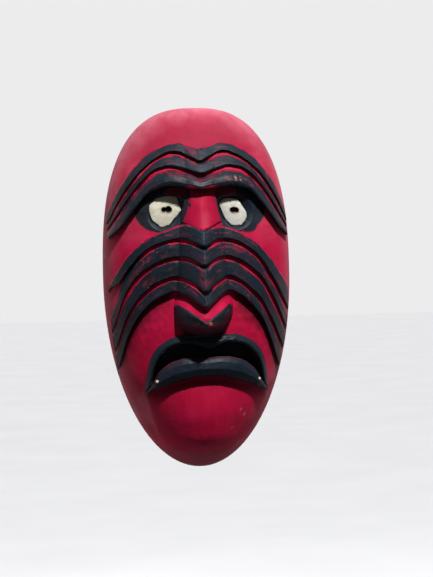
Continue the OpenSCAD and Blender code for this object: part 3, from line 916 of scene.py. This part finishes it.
FIBRES, STREAK = ((0.27, 0.145, 0.062), (0.42, 0.25, 0.125), (0.55, 0.36, 0.20)), (0.24, 0.12, 0.05)


def grain(g):
    """Bare wood: long fibres up the mask, with darker streaks."""
    fibre = g.noise(230, 6, 0.65, (1, 1, 0.045), 0.5)
    streak = g.noise(48, 3, 0.5, (1, 1, 0.06), 0.4)
    c = g.ramp(fibre, *zip((0.30, 0.5, 0.72), FIBRES))
    return g.mix(g.ramp(streak, (0.35, 0.55), (0.62, 0.0)), c, STREAK), fibre


CLEAN_RED = (0.35, 0.0005, 0.025), (0.41, 0.0010, 0.036), (0.47, 0.003, 0.056)
# the dark red is both dark red paint and painted shade
BRUSHED_RED, DARK_RED_AND_SHADE = (0.46, 0.03, 0.085), (0.085, 0.001, 0.010)
# the dusty reds are dust and a painted sheen
DUST_AND_SHEEN_RED = (0.41, 0.075, 0.115), (0.50, 0.145, 0.19)
INK = (0.006, 0.008, 0.012), (0.006, 0.013, 0.021), (0.013, 0.012, 0.021)
# the last of these inks is dust and a painted sheen on the black
GREY_INK, RED_INK, DUST_AND_SHEEN_INK = (0.026, 0.031, 0.038), (0.075, 0.008, 0.022), (0.070, 0.052, 0.056)
CHIPPED = (0.60, 0.20, 0.17)


def carved_paint(name):
    """Red, dark red, dusty red and blue-black paint on wood, with painted shade in the dark red and a
    painted sheen in the dusty colours, chosen by the paint attribute.
    """
    g = Graph(name)
    black, dark, dust_and_sheen, bare = g.paint()
    cloud = g.noise(28, 5, 0.6)
    fine = g.noise(260, 5, 0.6)
    brush = g.noise(140, 4, 0.6, (1, 1, 0.25))
    red = g.ramp(cloud, *zip((0.32, 0.5, 0.7), CLEAN_RED))
    red = g.mix(g.math("MULTIPLY", g.ramp(brush, (0.45, 0.0), (0.75, 1.0)), 0.16), red, BRUSHED_RED)
    # dark red paint and painted shade
    red = g.mix(g.math("MULTIPLY", dark, 0.92), red, DARK_RED_AND_SHADE)
    # dust and a painted sheen
    dust_and_sheen_red = g.ramp(g.noise(60, 5, 0.65), *zip((0.3, 0.7), DUST_AND_SHEEN_RED))
    red = g.mix(g.math("MULTIPLY", dust_and_sheen, g.ramp(cloud, (0.3, 0.62), (0.7, 0.95))), red, dust_and_sheen_red)
    ink = g.ramp(g.noise(38, 4, 0.6), *zip((0.32, 0.5, 0.68), INK))
    ink = g.mix(g.ramp(fine, (0.54, 0.0), (0.82, 0.35)), ink, GREY_INK)
    ink = g.mix(g.ramp(g.noise(52, 4, 0.7, (1, 1, 0.6)), (0.56, 0.0), (0.76, 0.38)), ink, RED_INK)
    # dust and a painted sheen on the black
    dry = g.ramp(g.noise(90, 5, 0.65), (0.3, 0.45), (0.7, 1.0))
    ink = g.mix(g.math("MULTIPLY", dust_and_sheen, dry), ink, DUST_AND_SHEEN_INK)
    colour = g.mix(black, red, ink)
    wood, fibre = grain(g)
    # small chips in the paint
    chip = g.ramp(g.noise(75, 3, 0.5), (0.735, 0.0), (0.752, 1.0))
    chip = g.math("MULTIPLY", chip, g.ramp(g.noise(17, 2, 0.5), (0.52, 0.0), (0.60, 0.75)))
    colour = g.mix(chip, colour, CHIPPED)
    colour = g.mix(bare, colour, wood)
    g.shade("Base Color", colour)
    rough = g.math("ADD", g.math("MULTIPLY", dust_and_sheen, 0.20), g.ramp(cloud, (0.3, 0.62), (0.7, 0.74)))
    rough = g.math("MULTIPLY_ADD", black, -0.20, rough)
    rough = g.math("MULTIPLY_ADD", bare, 0.30, rough, clamp=True)
    g.shade("Roughness", rough)
    bumps = g.bump(fibre, 0.0007, 0.35)
    bumps = g.bump(g.noise(120, 4, 0.6), 0.0006, 0.4, bumps)
    g.shade("Normal", g.bump(fine, 0.00025, 0.5, bumps))
    g.shade("Specular IOR Level", 0.14)
    return g.m


def cream_paint(name, warm):
    """Brushed cream paint. warm is 0 for a white one and 1 for a yellower one."""
    g = Graph(name)
    _, dirt_and_shade, _, _ = g.paint()
    shade = (0.49 + warm * 0.02, 0.48, 0.41 - warm * 0.05)
    light = (0.60, 0.595, 0.545 - warm * 0.065)
    c = g.ramp(g.noise(55, 5, 0.6), (0.3, shade), (0.7, light))
    c = g.mix(g.ramp(g.noise(210, 4, 0.6, (1, 1, 0.5)), (0.50, 0.0), (0.76, 0.55)), c, (0.38, 0.34, 0.25))
    # dirt near the edges, and painted shade in the peephole
    c = g.mix(dirt_and_shade, c, (0.11, 0.065, 0.035))
    g.shade("Base Color", c)
    g.shade("Roughness", g.ramp(g.noise(60, 3, 0.5), (0.3, 0.5), (0.7, 0.66)))
    g.shade("Normal", g.bump(g.noise(170, 5, 0.65, (1, 1, 0.5)), 0.0009, 0.8))
    return g.m


def peg_wood(name):
    g = Graph(name)
    wood, fibre = grain(g)
    g.shade("Base Color", g.mix(0.55, wood, (0.70, 0.60, 0.42)))
    g.shade("Roughness", 0.7)
    g.shade("Normal", g.bump(fibre, 0.0004, 0.6))
    return g.m


def dull_steel(name):
    g = Graph(name)
    spot = g.noise(420, 5, 0.65)
    c = g.ramp(spot, (0.35, (0.30, 0.29, 0.27)), (0.6, (0.50, 0.50, 0.49)))
    rust = g.ramp(g.noise(230, 5, 0.7), (0.60, 0.0), (0.74, 1.0))
    c = g.mix(g.math("MULTIPLY", rust, 0.7), c, (0.16, 0.065, 0.025))
    g.shade("Base Color", c)
    g.shade("Metallic", g.ramp(rust, (0.0, 0.95), (1.0, 0.25)))
    g.shade("Roughness", g.ramp(spot, (0.3, 0.32), (0.7, 0.55)))
    g.shade("Normal", g.bump(g.noise(900, 3, 0.6), 0.0001, 0.5))
    return g.m


PAINTED = carved_paint("carved_paint")
BANDS = carved_paint("band_paint")       # the same paint, kept apart for the pieces painted black
PEG_WOOD = peg_wood("peg_wood")
STEEL = dull_steel("dull_steel")


# ------------ pieces
def dress(o, body, slot_name, *nodes):
    """Says which body the piece rides on, and hides the CAD nodes it stands for. slot_name is not used."""
    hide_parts(*nodes)
    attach(o, body)


def band_paint(seed, roll=False, red_from=-90.0):
    """Blue-black with a broken red line left along the upper bevel, dusty with a painted sheen down the
    sides.
    roll adds the chips and the red notch of the brow roll. The red line starts at x = red_from."""
    def points_paint(arc, w, x, z):
        wob = 0.06 * fbm(arc / 5, arc * 0 + seed, seed + 3, 4)
        bevel = step(0.145, 0.115, w + wob) * step(-0.01, 0.03, w + 0.5 * wob)
        broken = step(-0.40, 0.05, fbm(arc / 7, w * 0 + seed, seed + 8))
        red = bevel * np.maximum(broken, 0.1) * step(2, 8, np.abs(x)) * step(red_from - 5, red_from + 5, x)
        smear = step(0.25, 0.70, fbm(arc / 9, w * 4 + seed, seed + 12, 4)) * step(0.95, 0.3, w)
        speck = step(0.66, 0.76, noise(arc / 0.8, w * 15, seed + 15))
        speck = speck * step(0.2, 0.6, noise(arc / 17, w * 2, seed + 16))
        black = (1 - red) * (1 - 0.55 * smear) * (1 - 0.4 * speck)
        # specks of dust, and dust with a painted sheen down the sides
        dust_and_sheen = np.maximum(0.5 * speck, 0.85 * step(40, 20, relief(x, z)))
        wood = 0 * x
        if roll:
            chip = step(0.05, 0.3, fbm(x / 2.4, z / 1.3, 17, 4)) * hump(x, 32, 9) * hump(w, 0.58, 0.15)
            chip = np.clip(chip * 0.9, 0, 1)
            wood = 0.45 * chip
            black = black * (1 - 0.9 * chip)
            dust_and_sheen = np.maximum(dust_and_sheen, 1.6 * chip)
            # the red of the bridge runs up on both sides of the roll's V
            black = black * (1 - step(0.80, 0.88, w + wob) * hump(x + 1, -8, 3.2))
            black = black * (1 - step(0.84, 0.9, w + wob) * hump(x, 9, 4.5))
        line_dark = red * (0.2 + 0.5 * step(-0.3, 0.3, fbm(arc / 12, w * 0, seed + 18)))
        return np.stack([black, np.maximum(0.85 * smear, line_dark), dust_and_sheen, wood], -1)
    return points_paint


def lip_paint(arc, w, x, z):
    """Blue-black, with a thin dark red line along the upper edge."""
    edge = step(0.06, 0.0, w + 0.04 * fbm(arc / 5, arc * 0, 7))
    return np.stack([1 - 0.2 * edge, 0.7 * edge, 0 * x, 0 * x], -1)


# cross-sections from the upper line to the lower: place across, height over the face
BAND_CROWN = [[0, 0.4], [0.05, 1.2], [0.14, 2.6], [0.5, 3.3], [0.92, 4.0], [1, 3.6]]
ROLL_CROWN = [[0, 0.6], [0.12, 3], [0.4, 6.5], [0.75, 8.5], [0.92, 7.9], [1, 6.4]]
LIP_CROWN = [[0, 1.5], [0.2, 4], [0.55, 5.5], [0.85, 4.5], [1, 2]]
LOWER_CROWN = [[0, 3.5], [0.25, 7], [0.6, 8.5], [0.88, 6.5], [1, 3]]

TIE_R, TIE_TURN, TIE_HALF_LENGTH = 2.5, math.radians(12), 15
TIE_X, TIE_DEPTH, TIE_Z = 80.5, 9, 20


def along_peephole(x, side, depth):
    return x, depth, EYE_Z[side] + (EYE_FRONT - depth) * PEEP_SLANT


def along_tie_hole(side, k):
    """A place on a tie hole's axis, at k of its half length from the middle of the wall."""
    reach = k * TIE_HALF_LENGTH
    return side * (TIE_X + reach * math.cos(TIE_TURN)), TIE_DEPTH + reach * math.sin(TIE_TURN), TIE_Z


face = shell(PAINTED)
combine(face, hanging_block(PAINTED), "UNION")
repaint(face, in_block, BARE)
for s in (-1, 1):
    for lobe, r in PEEP[s]:
        x = s * (EYE_X + lobe)
        drill(face, r, along_peephole(x, s, 60), along_peephole(x, s, 32), PAINTED_HOLE_SHADE)
    drill(face, TIE_R, along_tie_hole(s, -1), along_tie_hole(s, 1), BARE)
dress(face, "mask", "red_paint", "face_shell")

for i, (name, lines) in enumerate(zip(("brow_band_upper", "brow_band_middle", "brow_roll"), BROW)):
    roll = name == "brow_roll"
    o = strip("carved_" + name, lines, ROLL_CROWN if roll else BAND_CROWN, BANDS, 100 + 10 * i,
              band_paint(100 + 10 * i, roll), across=34 if roll else 26)
    dress(o, "mask", "black_paint", name)
RED_FROM = (-90, -56, -69, -60)       # the cheek bands' red lines start here, on the left
for i, lines in enumerate(CHEEK):
    name = f"cheek_band_{i + 1}"
    o = strip("carved_" + name, lines, BAND_CROWN, BANDS, 140 + 10 * i,
              band_paint(140 + 10 * i, red_from=RED_FROM[i]), drifted=True, hooked=i == 0)
    dress(o, "mask", "black_paint", name)

bridge = nose_piece("carved_nose_bridge", lambda s: np.full_like(s, NOSE_TOP), split_z, 230,
                    PAINTED, nose_top, bridge_paint)
dress(bridge, "mask", "red_paint", "nose_bridge")
tip = nose_piece("carved_nose_tip", split_z, lambda s: np.full_like(s, NOSE_FOOT), 90,
                 BANDS, tip_top, tip_paint)
dress(tip, "mask", "black_paint", "nose_tip")

o = strip("carved_upper_lip", LIP, LIP_CROWN, BANDS, 200, lip_paint, marks=0.25, shift=MOUTH_X)
dress(o, "mask", "black_paint", "upper_lip")
o = strip("carved_lower_lip", LOWER_LIP, LOWER_CROWN, BANDS, 210, lip_paint, across=36, marks=0.35,
          shift=MOUTH_X)
for s in (-1, 1):
    x = MOUTH_X + s * PEG_X
    drill(o, PEG_HOLE_R, (x, 75, PEG_Z), (x, 30, PEG_Z), PAINTED_HOLE_SHADE)
dress(o, "mask", "black_paint", "lower_lip")
dress(pegs(PEG_WOOD), "mask", "peg_wood", "lip_pegs")
for hand, side, warm, seed in (("left", -1, 1.0, 31), ("right", 1, 0.0, 37)):
    o = eye("carved_eye_disc_" + hand, side, cream_paint("cream_" + hand, warm), seed)
    dress(o, "mask", "cream_paint", "eye_disc_" + hand)

# the steel pieces keep their CAD shape
for node in ("hanger_strap", "hanger_screws", "hanger_ring"):
    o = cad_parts[node]
    o.data.materials.clear()
    o.data.materials.append(STEEL)

# ------------ floor, light, camera
FLOOR_DROP = 0.55        # the mask hangs this far above the floor
BACKDROP = 0.84
SOFT = ((0.15, 0.05), (0.72, 0.66))       # place and brightness towards the mask's front and back

bpy.ops.mesh.primitive_plane_add(size=40, location=(0, 0, cad_lo[2] - FLOOR_DROP))
floor = bpy.context.object
floor.name = "floor"
g = Graph("floor_paint")
light_grey = g.ramp(g.noise(3, 3, 0.5), (0.3, (0.86, 0.86, 0.87)), (0.7, (0.90, 0.90, 0.91)))
g.shade("Base Color", light_grey)
g.shade("Roughness", 0.9)
floor.data.materials.append(g.m)
# it throws no light back up on the mask
floor.visible_diffuse = False
floor.visible_glossy = False

scene = bpy.context.scene
world = bpy.data.worlds.new("studio")
world.use_nodes = True
wn, wl = world.node_tree.nodes, world.node_tree.links
backdrop = wn["Background"]
backdrop.inputs[0].default_value = (BACKDROP, BACKDROP, BACKDROP * 1.01, 1)
# soft light: dim from the front, brighter from the sides and back
soft = wn.new("ShaderNodeBackground")
split = wn.new("ShaderNodeSeparateXYZ")
wl.new(wn.new("ShaderNodeTexCoord").outputs["Generated"], split.inputs[0])
half = wn.new("ShaderNodeMath")
half.operation = "MULTIPLY_ADD"
half.inputs[1].default_value = 0.5
half.inputs[2].default_value = 0.5
wl.new(split.outputs[1], half.inputs[0])
sky = wn.new("ShaderNodeValToRGB")
for e, (p, c) in zip(sky.color_ramp.elements, SOFT):
    e.position, e.color = p, (c, c * 1.005, c * 1.02, 1)
wl.new(half.outputs[0], sky.inputs[0])
wl.new(sky.outputs[0], soft.inputs[0])
either = wn.new("ShaderNodeMixShader")
wl.new(wn.new("ShaderNodeLightPath").outputs["Is Camera Ray"], either.inputs[0])
wl.new(soft.outputs[0], either.inputs[1])
wl.new(backdrop.outputs[0], either.inputs[2])
wl.new(either.outputs[0], wn["World Output"].inputs[0])
scene.world = world
scene.view_settings.view_transform = "Standard"

centre = np.array([0.0, 0.0, -0.1605])       # the middle of the mask


def area(name, azimuth, elevation, distance, size, power):
    """A square lamp that points at the mask. Azimuth is from the front, to the right."""
    a, e = math.radians(azimuth), math.radians(elevation)
    d = np.array([math.sin(a) * math.cos(e), -math.cos(a) * math.cos(e), math.sin(e)])
    light = bpy.data.lights.new(name, "AREA")
    light.energy, light.size = power, size
    o = add(name, light)
    o.location = centre + d * distance
    o.rotation_mode = "QUATERNION"
    o.rotation_quaternion = Vector(-d).to_track_quat("-Z", "Y")


area("key", 14, 53.5, 1.7, 0.10, 49)
area("low_fill", -28, -38, 2.2, 0.9, 6.5)
area("back_fill", 195, 30, 2.2, 0.9, 16)
# a sun that lights only the floor
sun = bpy.data.lights.new("floor_sun", "SUN")
sun.energy, sun.angle = 1.9, 0.3
sun_o = add("floor_sun", sun)
sun_o.rotation_euler = (math.radians(-38), 0, 0)
only_floor = bpy.data.collections.new("only_floor")
only_floor.objects.link(floor)
sun_o.light_linking.receiver_collection = only_floor

CAMERA_DISTANCE, CAMERA_AZIMUTH, CAMERA_ELEVATION, CAMERA_ROLL = 1.7, -5.5, 1.0, 1.3
PICTURE_SPAN = 0.5319        # metres seen along the picture's long side, at the mask
SENSOR = 36

cam = bpy.data.cameras.new("camera")
cam_o = add("camera", cam)
scene.camera = cam_o
az, el = math.radians(CAMERA_AZIMUTH), math.radians(CAMERA_ELEVATION)
back = Vector((math.sin(az) * math.cos(el), -math.cos(az) * math.cos(el), math.sin(el)))
cam_o.location = Vector(centre) + back * CAMERA_DISTANCE
cam_o.rotation_mode = "QUATERNION"
turn = Matrix.Rotation(-math.radians(CAMERA_ROLL), 3, "Z").to_quaternion()
cam_o.rotation_quaternion = (-back).to_track_quat("-Z", "Y") @ turn
cam.sensor_width = SENSOR
cam.lens = SENSOR * CAMERA_DISTANCE / PICTURE_SPAN
cam.shift_x = 0.0346        # the mask hangs a little left of the picture's middle
cam.shift_y = -0.002
cam.clip_end = 50
